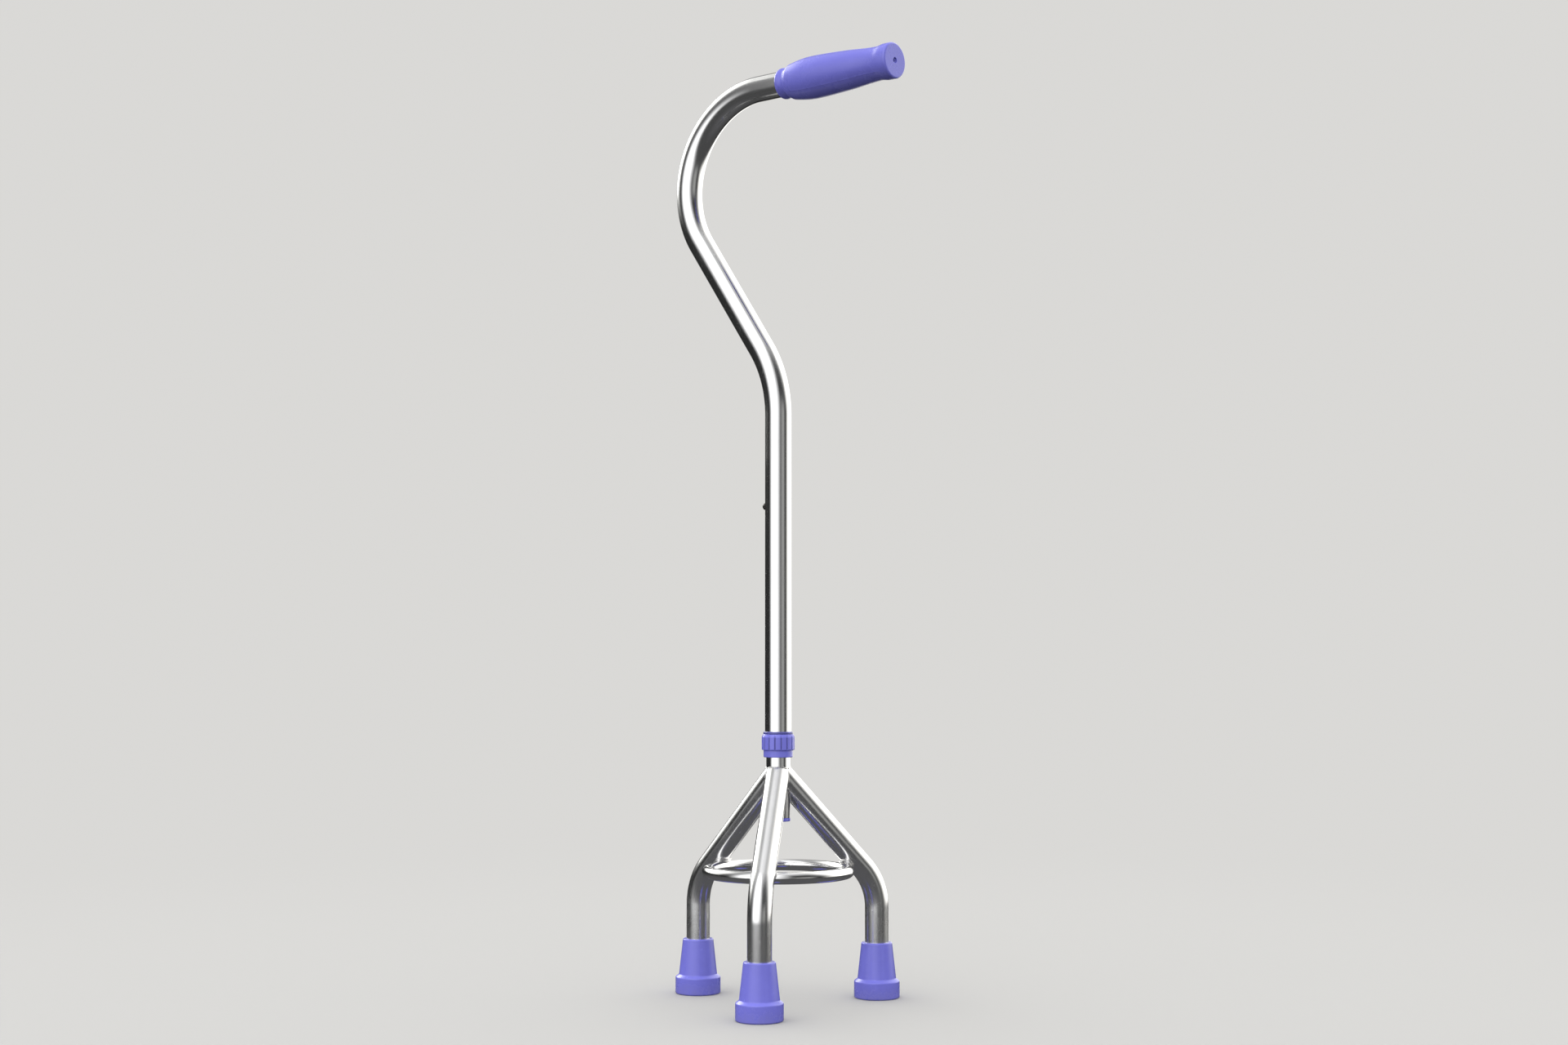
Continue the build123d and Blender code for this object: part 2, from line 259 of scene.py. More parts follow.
def skin(path, rows, angles, closed=True, radius=None, distance=None):
    """Surface round a centreline, as points, quads and coordinates that run along it without a seam.

    rows are (distance, radius) pairs, one ring of points each. The functions radius and distance, of
    (distance, radius, angles), vary either round a ring. A closed surface joins its last row to its first.
    """
    points, run = [], []
    for s, r in rows:
        rs = np.full(len(angles), r) if radius is None else radius(s, r, angles)
        ss = np.full(len(angles), s) if distance is None else distance(s, r, angles)
        centre, across, side = path(ss)
        flat = np.stack([rs * np.cos(angles), rs * np.sin(angles)], 1)
        points.append(centre + flat[:, :1] * across + flat[:, 1:] * side)
        run.append(np.column_stack([flat, ss]))
    i = np.arange(len(rows) if closed else len(rows) - 1)[:, None]
    j = np.arange(len(angles))[None, :]
    after_i = (i + 1) % len(rows)
    after_j = (j + 1) % len(angles)
    wide = len(angles)
    quads = np.stack([i * wide + j, i * wide + after_j, after_i * wide + after_j, after_i * wide + j], -1)
    return np.concatenate(points), quads.reshape(-1, 4).tolist(), np.concatenate(run)


def rounded(corners, steps=5):
    """(distance, radius) rows through (distance, radius, fillet) corners, with each fillet as an arc."""
    rows = []
    for k, (s, r, fillet) in enumerate(corners):
        here = np.array([s, r])
        back = np.array(corners[k - 1][:2]) - here
        on = np.array(corners[(k + 1) % len(corners)][:2]) - here
        if fillet == 0:
            rows.append(here)
            continue
        back /= np.linalg.norm(back)
        on /= np.linalg.norm(on)
        half = np.arccos(np.clip(back @ on, -1, 1)) / 2
        reach = fillet / tan(half)
        middle = here + (back + on) / np.linalg.norm(back + on) * fillet / sin(half)
        start, end = here + back * reach - middle, here + on * reach - middle
        sweep = pi - 2 * half
        rows.append(here + back * reach * 1.25)
        for t in np.linspace(0, 1, steps + 1):
            rows.append(middle + (start * sin((1 - t) * sweep) + end * sin(t * sweep)) / sin(sweep))
        rows.append(here + on * reach * 1.25)
    return [tuple(row) for row in rows]


def flowing(stations, step):
    """(distance, radius) rows on a smooth curve through stations that never overshoots them."""
    s, r = (np.array(v, float) for v in zip(*stations))
    slope = np.diff(r) / np.diff(s)
    lean = np.zeros(len(s))
    same = slope[1:] * slope[:-1] > 0
    lean[1:-1][same] = 2 * slope[1:][same] * slope[:-1][same] / (slope[1:] + slope[:-1])[same]
    rows = []
    for k in range(len(slope)):
        width = s[k + 1] - s[k]
        for t in np.arange(0, 1, step / width):
            blend = t * t * (3 - 2 * t)
            rise = width * (t * (1 - t) ** 2 * lean[k] - t * t * (1 - t) * lean[k + 1])
            rows.append((s[k] + t * width, r[k] + blend * (r[k + 1] - r[k]) + rise))
    rows.append((s[-1], r[-1]))
    return rows


def filled_in(rows, step, above):
    """Closed rows with more in between, at most a step apart, where they are above a radius."""
    filled = []
    for here, on in zip(rows, rows[1:] + rows[:1]):
        parts = 1 + int(abs(on[0] - here[0]) / step) if min(here[1], on[1]) > above else 1
        filled += [tuple(np.array(here) + (np.array(on) - here) * k / parts) for k in range(parts)]
    return filled


def ridge(angles, at, width, height):
    """Height at each angle of a surface with a smooth ridge at each of the angles in at."""
    total = np.zeros(len(angles))
    for a in at:
        gap = np.abs((angles - a + pi) % TURN - pi)
        total += height * np.exp(-((gap / width) ** 2) * 4)
    return total


def about_post(points, azimuth=0.0):
    """Points made towards +X about the post's axis, turned to an azimuth and moved to the post."""
    a = radians(azimuth)
    turned = np.array([[cos(a), sin(a), 0], [-sin(a), cos(a), 0], [0, 0, 1]])
    return points @ turned + np.array([POST_X, 0, 0])


def piece(node, name, slot, points, faces, run=None, sharp=40.0, finish=None):
    """Mesh piece that stands for a CAD node, rides on its body and has its slot's finish or a given one."""
    mesh = bpy.data.meshes.new(name)
    mesh.from_pydata(points.tolist(), [], faces)
    if run is not None:
        attribute = mesh.attributes.new("run_coord", "FLOAT_VECTOR", "POINT")
        attribute.data.foreach_set("vector", run.astype(np.float32).ravel())
    made = bmesh.new()
    made.from_mesh(mesh)
    bmesh.ops.remove_doubles(made, verts=made.verts, dist=MERGE_DISTANCE)
    bmesh.ops.dissolve_degenerate(made, edges=made.edges, dist=MERGE_DISTANCE)
    bmesh.ops.recalc_face_normals(made, faces=made.faces)
    made.to_mesh(mesh)
    made.free()
    mesh.polygons.foreach_set("use_smooth", [True] * len(mesh.polygons))
    mesh.set_sharp_from_angle(angle=radians(sharp))
    mesh.materials.append(finishes[finish or slot])
    obj = bpy.data.objects.new(name, mesh)
    bpy.context.scene.collection.objects.link(obj)
    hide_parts(node)
    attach(obj, frame["nodes"][node]["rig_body"])
    return obj


# ---------------------------------------------------------------- node helper

class Tree:
    """Short way to write a node tree."""

    def __init__(self, owner):
        owner.use_nodes = True
        self.tree = owner.node_tree
        self.tree.nodes.clear()

    def node(self, kind, values=(), **settings):
        made = self.tree.nodes.new("ShaderNode" + kind)
        for key, value in settings.items():
            setattr(made, key, value)
        for key, value in dict(values).items():
            if isinstance(value, bpy.types.NodeSocket):
                self.tree.links.new(value, made.inputs[key])
            else:
                made.inputs[key].default_value = value
        return made

    def math(self, operation, a, b=0.0, c=0.0):
        return self.node("Math", {0: a, 1: b, 2: c}, operation=operation).outputs[0]

    def remap(self, value, low, high, to_low, to_high, smooth=True):
        kind = "SMOOTHSTEP" if smooth else "LINEAR"
        values = {"Value": value, "From Min": low, "From Max": high, "To Min": to_low, "To Max": to_high}
        return self.node("MapRange", values, interpolation_type=kind).outputs[0]

    def ramp(self, value, stops):
        made = self.node("ValToRGB", {0: value})
        elements = made.color_ramp.elements
        while len(elements) < len(stops):
            elements.new(0.5)
        for element, (place, level) in zip(elements, stops):
            element.position = place
            element.color = grey(level)
        return made.outputs[0]

    def away_from_middle(self):
        place = self.node("TexCoord").outputs["Object"]
        return self.node("VectorMath", {0: place}, operation="LENGTH").outputs["Value"]

    def height(self, place):
        return self.node("SeparateXYZ", {0: place}).outputs["Z"]

    def stretch(self, vector, scale):
        return self.node("Mapping", {"Vector": vector, "Scale": scale}).outputs[0]

    def noise(self, vector, scale, detail=3.0, roughness=0.5):
        values = {"Vector": vector, "Scale": scale, "Detail": detail, "Roughness": roughness}
        return self.node("TexNoise", values).outputs["Fac"]

    def mix(self, share, a, b):
        made = self.node("Mix", data_type="RGBA")
        for key, value in ((0, share), (6, a), (7, b)):
            if isinstance(value, bpy.types.NodeSocket):
                self.tree.links.new(value, made.inputs[key])
            else:
                made.inputs[key].default_value = value
        return made.outputs[2]

    def choose(self, share, a, b):
        return self.node("MixShader", {0: share, 1: a.outputs[0], 2: b.outputs[0]})

    def bump(self, height, distance):
        return self.node("Bump", {"Height": height, "Distance": distance}).outputs[0]


def grey(level):
    return (level, level, level, 1.0)


def shade(colour, factor):
    return tuple(min(1.0, c * factor) for c in colour[:3]) + (1.0,)


# ---------------------------------------------------------------- finishes

VIOLET = (0.160, 0.160, 0.615, 1.0)
BLACK = (0.018, 0.018, 0.020, 1.0)
BRIGHT_METAL = (0.83, 0.83, 0.835, 1.0)
HAZED_METAL = (0.76, 0.76, 0.755, 1.0)
# Dark grey of the post's end below the hub, which is painted shade.
PAINTED_SHADE_METAL = (0.34, 0.34, 0.345, 1.0)
ZINC = (0.55, 0.55, 0.53, 1.0)
BLACKENED = (0.055, 0.050, 0.048, 1.0)
WELD_DIP = (0.42, 0.40, 0.38, 1.0)
WELD_TINT = (0.70, 0.66, 0.60, 1.0)
RUBBED_STEEL = (0.40, 0.38, 0.36, 1.0)
DIRT = (0.16, 0.145, 0.20, 1.0)

# Heights between which the foot rubber gets dirty towards the floor, and the dark bottoms of the collar's
# grooves: the radii of full and no shade, and the heights that they lie between
DIRTY_HEIGHTS = (-0.008, 0.008)
GROOVE_SHADE = (13.15 * MM, 13.65 * MM, COLLAR_STEP + 0.5 * MM, 16.6 * MM)


def polished_metal(name, roughness=0.13, drawn=1.0, haze_and_shade_heights=(0.035, 0.105), haze=0.12, haze_and_shade_colour=HAZED_METAL):
    """Bright metal polished lengthwise: fine draw lines, hairline scratches and finger smudges.

    Between two given heights it turns, downwards, to a rougher metal of a second colour: a slightly darker
    haze, and on the post's end below the hub a far darker grey that is painted shade.
    """
    material = bpy.data.materials.new(name)
    t = Tree(material)
    place = t.node("TexCoord").outputs["Object"]
    run = t.node("Attribute", attribute_name="run_coord").outputs["Vector"]
    lines = t.noise(t.stretch(run, (2600, 2600, 22)), 1.0, 4.0, 0.6)
    smudge = t.noise(place, 34.0, 4.0, 0.55)
    hairline = t.noise(t.stretch(run, (1500, 1500, 90)), 1.0, 1.0)
    scratch = t.remap(hairline, 0.70, 0.78, 0.0, 1.0)
    low = t.remap(t.height(place), *haze_and_shade_heights, 1.0, 0.0)
    dull = t.math("MULTIPLY_ADD", lines, 0.08 * drawn, roughness - 0.04 * drawn)
    dull = t.math("ADD", dull, t.remap(smudge, 0.48, 0.70, 0.0, 0.05))
    dull = t.math("MULTIPLY_ADD", scratch, 0.08, dull)
    film = t.math("MULTIPLY", low, t.remap(smudge, 0.3, 0.7, 0.8 * haze, 1.2 * haze))
    dull = t.math("ADD", dull, film)
    metal_colour = t.mix(t.remap(smudge, 0.45, 0.75, 0.0, 0.55), BRIGHT_METAL, shade(BRIGHT_METAL, 0.92))
    # Towards the bottom the second colour takes over: a slight haze, and on the post's end painted shade.
    metal_colour = t.mix(t.math("MULTIPLY", low, t.remap(smudge, 0.35, 0.65, 0.7, 1.0)), metal_colour, haze_and_shade_colour)
    relief = t.math("MULTIPLY_ADD", scratch, -0.6, lines)
    shader = t.node("BsdfPrincipled", {
        "Base Color": metal_colour, "Metallic": 1.0, "Roughness": dull,
        "Normal": t.bump(relief, 0.0004 * MM * drawn),
    })
    t.node("OutputMaterial", {"Surface": shader.outputs[0]})
    return material


def plated_weld(name):
    """Plated weld bead: lumpy, a little duller than the tubes, darker in its dips."""
    material = bpy.data.materials.new(name)
    t = Tree(material)
    place = t.node("TexCoord").outputs["Object"]
    lumps = t.noise(place, 900.0, 3.0)
    grain = t.noise(place, 5200.0, 3.0)
    dip = t.remap(t.node("NewGeometry").outputs["Pointiness"], 0.42, 0.52, 1.0, 0.0)
    tone = t.mix(dip, BRIGHT_METAL, WELD_DIP)
    tone = t.mix(t.remap(lumps, 0.4, 0.7, 0.0, 0.35), tone, WELD_TINT)
    shader = t.node("BsdfPrincipled", {
        "Base Color": tone, "Metallic": 1.0, "Roughness": t.remap(grain, 0.3, 0.7, 0.16, 0.34),
        "Normal": t.bump(t.math("ADD", lumps, t.math("MULTIPLY", grain, 0.3)), 0.05 * MM),
    })
    t.node("OutputMaterial", {"Surface": shader.outputs[0]})
    return material


def groove_shade(t, shaded):
    """Share of shade in the grooves of a turned piece, by its own radius and height.

    shaded is the radius of full shade, the radius of none, and the heights that the shade lies between.
    """
    full, none, low, high = shaded
    run = t.node("SeparateXYZ", {0: t.node("Attribute", attribute_name="run_coord").outputs["Vector"]})
    away = t.node("CombineXYZ", {0: run.outputs["X"], 1: run.outputs["Y"]}).outputs[0]
    away = t.node("VectorMath", {0: away}, operation="LENGTH").outputs["Value"]
    above = t.math("GREATER_THAN", run.outputs["Z"], low)
    below = t.math("LESS_THAN", run.outputs["Z"], high)
    return t.math("MULTIPLY", t.math("MULTIPLY", above, below), t.remap(away, full, none, 0.8, 0.0))


def floor_dirt(t, place, mottle, heights):
    """Share of dirt near the floor, with a ragged upper edge, full and none at the two heights."""
    ragged = t.math("MULTIPLY_ADD", t.noise(place, 95.0, 4.0), -0.012, t.height(place))
    dirty = t.remap(ragged, *heights, 1.0, 0.0)
    return t.math("MULTIPLY", dirty, t.remap(mottle, 0.3, 0.6, 0.05, 0.22))


def moulded(name, colour, roughness, grain_size, grain_depth, wear_and_highlight_share=0.3, shaded=None, dirty=None):
    """Moulded rubber or plastic: spark-eroded grain, uneven gloss, edges lighter partly from rubbing wear
    and partly as a painted highlight, and painted shade in the creases.

    shaded gives the grooves of groove_shade, and dirty the heights of floor_dirt.
    """
    material = bpy.data.materials.new(name)
    t = Tree(material)
    place = t.node("TexCoord").outputs["Object"]
    cloud = t.noise(place, 26.0, 4.0, 0.6)
    mottle = t.noise(place, 210.0, 5.0, 0.6)
    grain = t.noise(place, 1.0 / grain_size, 2.0, 0.6)
    pointed = t.node("NewGeometry").outputs["Pointiness"]
    edge = t.remap(pointed, 0.515, 0.57, 0.0, 1.0)
    crease_shade = t.remap(pointed, 0.43, 0.49, 1.0, 0.0)
    tone = t.mix(t.remap(cloud, 0.35, 0.65, 0.0, 1.0), shade(colour, 0.97), shade(colour, 1.03))
    pale = t.math("MULTIPLY", t.remap(mottle, 0.52, 0.72, 0.0, 1.0), 0.10)
    tone = t.mix(pale, tone, shade(colour, 1.20))
    # Painted shade: the colour darkens in creases, where the surface folds inwards.
    tone = t.mix(t.math("MULTIPLY", crease_shade, 0.45), tone, shade(colour, 0.45))
    if shaded is not None:
        tone = t.mix(groove_shade(t, shaded), tone, shade(colour, 0.30))
    # Lighter convex edges: partly rubbing wear and partly a painted highlight, which brings out rib edges
    # and the grip's parting line.
    wear_and_highlight = t.math("MULTIPLY", edge, t.remap(mottle, 0.35, 0.6, 0.2, 1.0))
    tone = t.mix(t.math("MULTIPLY", wear_and_highlight, wear_and_highlight_share), tone, shade(colour, 1.45))
    dull = t.remap(cloud, 0.3, 0.7, roughness - 0.02, roughness + 0.02)
    dull = t.math("MULTIPLY_ADD", mottle, 0.05, t.math("ADD", dull, -0.025))
    dull = t.math("MULTIPLY_ADD", wear_and_highlight, 0.08, dull)
    relief = t.math("MULTIPLY_ADD", mottle, 0.6, grain)
    if dirty is not None:
        dirt = floor_dirt(t, place, mottle, dirty)
        tone = t.mix(dirt, tone, DIRT)
        dull = t.math("MULTIPLY_ADD", dirt, 0.3, dull)
    shader = t.node("BsdfPrincipled", {
        "Base Color": tone, "Roughness": dull, "Normal": t.bump(relief, grain_depth),
    })
    t.node("OutputMaterial", {"Surface": shader.outputs[0]})
    return material


def dark_metal(name, colour, roughness):
    """Blackened or zinc-plated steel, with grain and rubbed edges."""
    material = bpy.data.materials.new(name)
    t = Tree(material)
    place = t.node("TexCoord").outputs["Object"]
    grain = t.noise(place, 3800.0, 4.0)
    patch = t.noise(place, 600.0, 3.0)
    edge = t.remap(t.node("NewGeometry").outputs["Pointiness"], 0.52, 0.60, 0.0, 0.7)
    tone = t.mix(t.remap(patch, 0.4, 0.7, 0.0, 0.6), colour, shade(colour, 1.6))
    tone = t.mix(edge, tone, RUBBED_STEEL)
    dull = t.remap(grain, 0.3, 0.7, roughness - 0.08, roughness + 0.08)
    shader = t.node("BsdfPrincipled", {
        "Base Color": tone, "Metallic": 0.9, "Roughness": dull, "Normal": t.bump(grain, 0.01 * MM),
    })
    t.node("OutputMaterial", {"Surface": shader.outputs[0]})
    return material


finishes = {
    "polished_tube": polished_metal("polished_tube"),
    # The post's end below the hub turns rougher and far darker: painted shade, standing for the legs' dark
    # undersides that it mirrors.
    "polished_post": polished_metal("polished_post", haze_and_shade_heights=(0.172, 0.186), haze=0.20, haze_and_shade_colour=PAINTED_SHADE_METAL),
    "polished_leg": polished_metal("polished_leg", roughness=0.19, haze=0.09),
    "polished_rod": polished_metal("polished_rod", roughness=0.12, drawn=0.7),
    "weld_metal": plated_weld("weld_metal"),
    "washer_steel": dark_metal("washer_steel", ZINC, 0.35),
    "dark_steel": dark_metal("dark_steel", BLACKENED, 0.38),
    "grip_rubber": moulded("grip_rubber", VIOLET, 0.27, 0.45 * MM, 0.007 * MM, wear_and_highlight_share=0.25),
    "foot_rubber": moulded("foot_rubber", VIOLET, 0.25, 0.40 * MM, 0.010 * MM, dirty=DIRTY_HEIGHTS),
    "collar_plastic": moulded(
        "collar_plastic", VIOLET, 0.25, 0.30 * MM, 0.005 * MM, wear_and_highlight_share=0.7, shaded=GROOVE_SHADE,
    ),
    "clamp_plastic": moulded("clamp_plastic", BLACK, 0.4, 0.3 * MM, 0.01 * MM),
}


# ---------------------------------------------------------------- tubes with button holes

# Columns round a tube, columns and rows from a hole's middle to its patch's edge, and the radius of every
# softened edge with the rows that round it
ROUND = 96
PATCH = 7
LIP = 0.25 * MM
LIP_ROWS = 5


def wall_rows(outside, radius, wall, end):
    """Closed wall profile of a tube: up the outside stations, round the end's lip, back down the bore."""
    inner = radius - wall
    lip = [(sin(a) * LIP, (1 - cos(a)) * LIP) for a in np.linspace(0, pi / 2, LIP_ROWS)]
    lip = [(s, radius - r) for s, r in lip] + [(s, inner + r) for s, r in reversed(lip)]
    top = [(end - LIP + s, r) for s, r in lip]
    bottom = [(LIP - s, r) for s, r in reversed(lip)]
    return [(s, radius) for s in outside] + top + [(s, inner) for s in reversed(outside)] + bottom


def patch_edge():
    """(column, row) steps once round the square edge of the patch about a hole."""
    edge = []
    side = [(k, -PATCH) for k in range(-PATCH, PATCH)]
    for _ in range(4):
        edge += side
        side = [(-v, u) for u, v in side]
    return edge


def pierced_tube(path, outside, radius, wall, end, hole_heights, hole_radius):
    """Tube with round holes on its -X side, in its straight run, each with a softened edge.

    outside are the stations up the outside, with the patch of rows round each hole among them.
    """
    rows = wall_rows(outside, radius, wall, end)
    points, faces, run = skin(path, rows, columns(ROUND))
    points, run = list(points), list(run)
    inner = radius - wall
    step = TURN / ROUND
    middle = ROUND // 2
    origin = path(0)[0][0]
    square = patch_edge()
    arc = np.linspace(0, pi / 2, 4)
    towards_hole = (0.3, 0.6, 0.85)
    wide_r = hole_radius + LIP

    def loop_at(height, surface, share, hole_r, depth=0):
        """New points on a wall's surface, a share of the way from the square to a circle round the hole."""
        indices = []
        for u, v in square:
            phi = atan2(v, u)
            offset, rise = hole_r * cos(phi), hole_r * sin(phi)
            turn = (1 - share) * u * step + share * np.arcsin(offset / surface)
            rise = (1 - share) * v * step * radius + share * rise
            x = -surface * cos(turn) + depth
            y = -surface * sin(turn)
            indices.append(len(points))
            points.append(origin + np.array([x, y, height + rise]))
            run.append(np.array([x, y, height + rise]))
        return indices

    cut = set()
    for height in hole_heights:
        first = int(np.argmin([abs(s - (height - PATCH * radius * TURN / ROUND)) for s in outside]))
        last_inner = len(rows) - 2 * LIP_ROWS - 1 - first
        for k in range(2 * PATCH):
            for row in (first + k, last_inner - 1 - k):
                cut.update(row * ROUND + j for j in range(middle - PATCH, middle + PATCH))
        loops = [[(first + PATCH + v) * ROUND + middle + u for u, v in square]]
        loops += [loop_at(height, radius, t, wide_r) for t in towards_hole]
        loops += [loop_at(height, radius, 1, wide_r - LIP * sin(a), LIP * (1 - cos(a))) for a in arc]
        loops += [loop_at(height, inner, 1, wide_r - LIP * cos(a), -LIP * (1 - sin(a))) for a in arc]
        loops += [loop_at(height, inner, t, wide_r) for t in reversed(towards_hole)]
        loops += [[(last_inner - PATCH - v) * ROUND + middle + u for u, v in square]]
        for here, on in zip(loops, loops[1:]):
            count = len(here)
            faces += [[here[i], here[(i + 1) % count], on[(i + 1) % count], on[i]] for i in range(count)]
    kept = [f for i, f in enumerate(faces) if i not in cut]
    return np.array(points), kept, np.array(run)


def patch_stations(height, radius):
    return [height + k * radius * TURN / ROUND for k in range(-PATCH, PATCH + 1)]


def neck_tube():
    start_z = tube_lo.z
    straight = LOWER_BEND_Z - start_z
    bow_x = -LOWER_BEND_R * (1 - cos(radians(NECK_LEAN))) - LEAN_LENGTH * sin(radians(NECK_LEAN))
    bow_x += BOW_R * cos(radians(NECK_LEAN))
    level = tube_hi.x - POST_X - bow_x
    path, length = bent_path(0, start_z, 0, [
        (straight, 0), (LOWER_BEND_R, -NECK_LEAN), (LEAN_LENGTH, 0), (BOW_R, NECK_LEAN + 90), (level, 0),
    ])
    heights = [BUTTON_Z - start_z - i * HOLE_PITCH for i in reversed(range(HOLE_COUNT))]
    outside = [2 * LIP] + [s for h in heights for s in patch_stations(h, TUBE_R)]
    outside += list(np.linspace(heights[-1] + 20 * MM, straight - 4 * MM, 4))
    outside += list(np.linspace(straight - 2 * MM, length - level + 2 * MM, 190))
    outside += list(np.linspace(length - level + 6 * MM, length - 2 * LIP, 6))
    points, faces, run = pierced_tube(path, outside, TUBE_R, TUBE_WALL, length, heights, HOLE_R)
    piece("swan_neck_tube", "neck_tube", "polished_tube", about_post(points), faces, run)


def post():
    height = BUTTON_Z - post_lo.z
    top = post_hi.z - post_lo.z
    path = straight_path((0, 0, post_lo.z), (1, 0, 0), (0, 1, 0))
    outside = [2 * LIP, 0.03, 0.06, 0.12, 0.2] + patch_stations(height, POST_R) + [top - 2 * LIP]
    points, faces, run = pierced_tube(path, outside, POST_R, POST_WALL, top, [height], POST_HOLE_R)
    piece("post_tube", "inner_post", "polished_tube", about_post(points), faces, run, finish="polished_post")


# ---------------------------------------------------------------- grip

def grip():
    lo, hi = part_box("hand_grip")
    start, length = lo.x, hi.x - lo.x
    bore = TUBE_R + RUNNING
    socket = tube_hi.x - start + FREE
    quarter = np.linspace(0, pi / 2, 12)
    mouth = [(GRIP_BEAD_AT * (1 - cos(a)), bore + (GRIP_BEAD_R - bore) * sin(a)) for a in quarter]
    body = flowing([
        (GRIP_BEAD_AT, GRIP_BEAD_R), (GRIP_GROOVE_AT, GRIP_GROOVE_R), (GRIP_SHOULDER_AT, GRIP_SHOULDER_R),
        (GRIP_SWELL_AT, GRIP_SWELL_R), (GRIP_TAPER_AT, GRIP_TAPER_R), (GRIP_WAIST_AT, GRIP_WAIST_R),
        (length - GRIP_FLANGE, GRIP_FLANGE_R), (length - 6.5 * MM, GRIP_FLANGE_R + 0.05 * MM),
    ], 0.9 * MM)
    end = rounded([
        (length - 7 * MM, GRIP_FLANGE_R, 0), (length, GRIP_FLANGE_R, GRIP_EDGE),
        (length, GRIP_VENT_R, 0.35 * MM),
    ], 8)[1:]
    inside = [(length - 1.5 * MM, GRIP_VENT_R), (socket, GRIP_VENT_R), (socket, bore), (2 * MM, bore)]
    seam_fades = (9 * MM, 19 * MM, length - 14 * MM, length - 6 * MM)

    def with_seam(s, r, around):
        seam = ridge(around, GRIP_SEAMS, 0.03, GRIP_SEAM_HEIGHT)
        return r + np.interp(s, seam_fades, (0, 1, 1, 0)) * seam

    path = straight_path((start, 0, HANDLE_Z), (0, 1, 0), (0, 0, 1))
    rows = mouth[:-1] + body + end + inside
    points, faces, run = skin(path, rows, columns(112, GRIP_SEAMS, 0.045), radius=with_seam)
    piece("hand_grip", "grip_sleeve", "grip_rubber", points, faces, run)


# ---------------------------------------------------------------- locking collar

def collar():
    lo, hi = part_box("locking_collar")
    sleeve_lo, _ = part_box("collet_sleeve")
    height = hi.z - lo.z
    skirt_r = (hi.y - lo.y) / 2
    nose_bore = POST_R + FREE
    bore = SLEEVE_R + SLIDING
    deep = sleeve_lo.z - lo.z
    rows = rounded([
        (0, nose_bore, 0.2 * MM), (0, COLLAR_NOSE_R, COLLAR_EDGE), (COLLAR_STEP, COLLAR_NOSE_R, 0.25 * MM),
        (COLLAR_STEP, skirt_r, COLLAR_EDGE), (height - COLLAR_CHAMFER_HEIGHT, skirt_r, 1.2 * MM),
        (height, skirt_r - COLLAR_CHAMFER, 0.35 * MM), (height, bore, 0.15 * MM), (deep, bore, 0),
        (COLLAR_LIP, nose_bore + 1.0 * MM, 0), (COLLAR_LIP, nose_bore, 0),
    ])
    rows = filled_in(rows, 0.5 * MM, COLLAR_NOSE_R + 0.2 * MM)
    # Columns to both sides of each groove's middle, closest at its edge
    aside = (0, 0.014, 0.028, 0.038, 0.046, 0.052, 0.056, 0.060, 0.064, 0.070, 0.082, 0.105, 0.14)
    pitch = TURN / RIB_COUNT
    angles = [RIB_PHASE + i * pitch + hand * a for i in range(RIB_COUNT) for a in aside for hand in (-1, 1)]
    angles = np.array(sorted({round(a % TURN, 6) for a in angles}))
    groove_axis_r = skirt_r + RIB_GROOVE_OUT

    def ribbed(s, r, around):
        plain = np.full(len(around), float(r))
        if r < COLLAR_NOSE_R + 0.05 * MM:
            return plain
        gap = (around - RIB_PHASE + pitch / 2) % pitch - pitch / 2
        chord = np.sqrt(np.maximum(RIB_GROOVE_R**2 - (groove_axis_r * np.sin(gap)) ** 2, 0))
        groove = np.where(chord > 0, groove_axis_r * np.cos(gap) - chord, skirt_r + 0.6 * MM)
        lower = (plain + groove - np.sqrt((plain - groove) ** 2 + RIB_SOFTNESS**2)) / 2
        return np.minimum(plain, lower + RIB_SOFTNESS * 0.5)

    path = straight_path((0, 0, lo.z), (1, 0, 0), (0, 1, 0))
    points, faces, run = skin(path, rows, angles, radius=ribbed)
    piece("locking_collar", "ribbed_collar", "collar_plastic", about_post(points), faces, run, sharp=60)


def turned(node, name, slot, bottom, corners, closed=True):
    """Piece turned about the post's axis from a height up, from (distance, radius, fillet) corners."""
    path = straight_path((0, 0, bottom), (1, 0, 0), (0, 1, 0))
    points, faces, run = skin(path, rounded(corners), columns(ROUND), closed=closed)
    piece(node, name, slot, about_post(points), faces, run)


def sleeve():
    lo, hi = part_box("collet_sleeve")
    height = hi.z - lo.z
    flange_r = (hi.y - lo.y) / 2
    bore = TUBE_R + RUNNING
    body_top = height - SLEEVE_FLANGE
    thread = [
        (1.0 * MM + k * THREAD_HALF_PITCH, SLEEVE_R - (k % 2) * THREAD_DEPTH, 0) for k in range(THREAD_ROWS)
    ]
    turned("collet_sleeve", "threaded_sleeve", "collar_plastic", lo.z, [
        (0, bore, 0), (0, SLEEVE_R - 0.4 * MM, 0), *thread, (body_top, SLEEVE_R, 0),
        (body_top, flange_r, 0.2 * MM), (height, flange_r, SLEEVE_EDGE), (height, bore, 0.25 * MM),
    ])


def end_plug():
    lo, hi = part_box("post_end_plug")
    rim_r = (hi.y - lo.y) / 2
    rim = post_lo.z - lo.z
    height = hi.z - lo.z
    skirt = POST_R - POST_WALL - RUNNING
    inner = skirt - PLUG_WALL
    dimple = 0.25 * MM
    turned("post_end_plug", "post_plug", "collar_plastic", lo.z, [
        (dimple, 0, 0), (dimple, rim_r * 0.45, 0.1 * MM), (0, rim_r * 0.55, 0.1 * MM), (0, rim_r, 0.9 * MM),
        (rim, rim_r, 0.2 * MM), (rim, skirt, 0), (height, skirt, 0.3 * MM), (height, inner, 0.2 * MM),
        (rim, inner, 0), (rim, 0, 0),
    ], closed=False)


